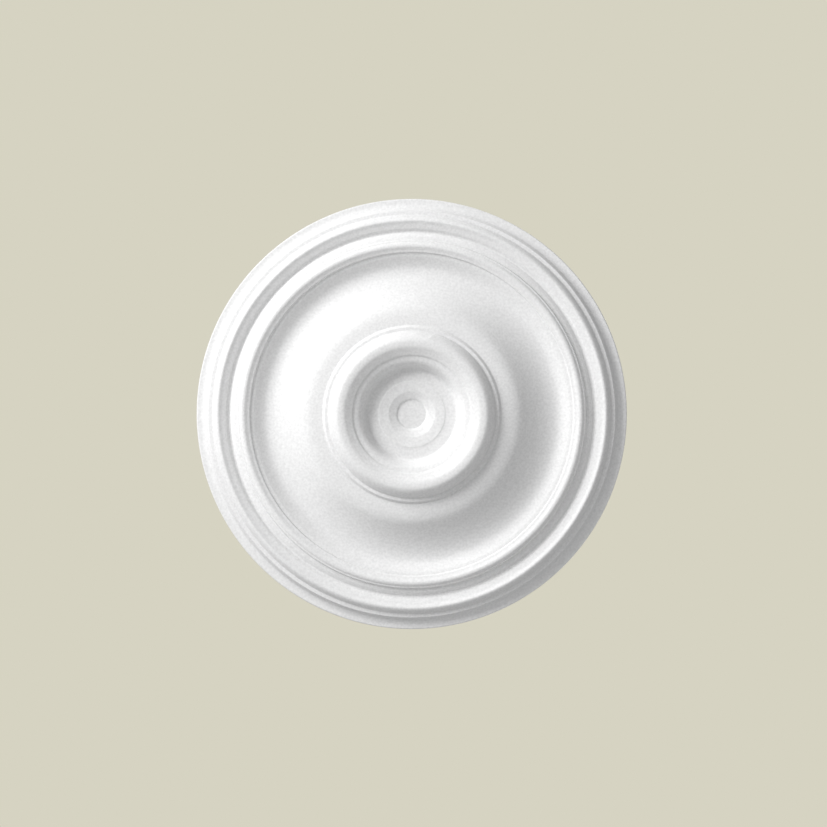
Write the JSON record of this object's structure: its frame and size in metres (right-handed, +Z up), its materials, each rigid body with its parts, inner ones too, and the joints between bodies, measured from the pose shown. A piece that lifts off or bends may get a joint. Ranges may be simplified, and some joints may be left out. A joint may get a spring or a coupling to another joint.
{
  "type": "ceiling rose",
  "caption": "Plain round moulded ceiling rose, hung face down: a dished boss in a smooth sloping field, inside a border of stepped rings.",
  "frame": {"origin": "centre of the flat back, which is glued to the ceiling", "axes": "+Z points up into the ceiling; the moulded face looks down, towards -Z; the rose is round about Z"},
  "size_m": [0.3, 0.3, 0.037],
  "materials": {
    "white_paint": "smooth matt white factory paint over a moulded core"
  },
  "bodies": {
    "root": {"ceiling_rose": "white_paint"}
  },
  "joints": []
}
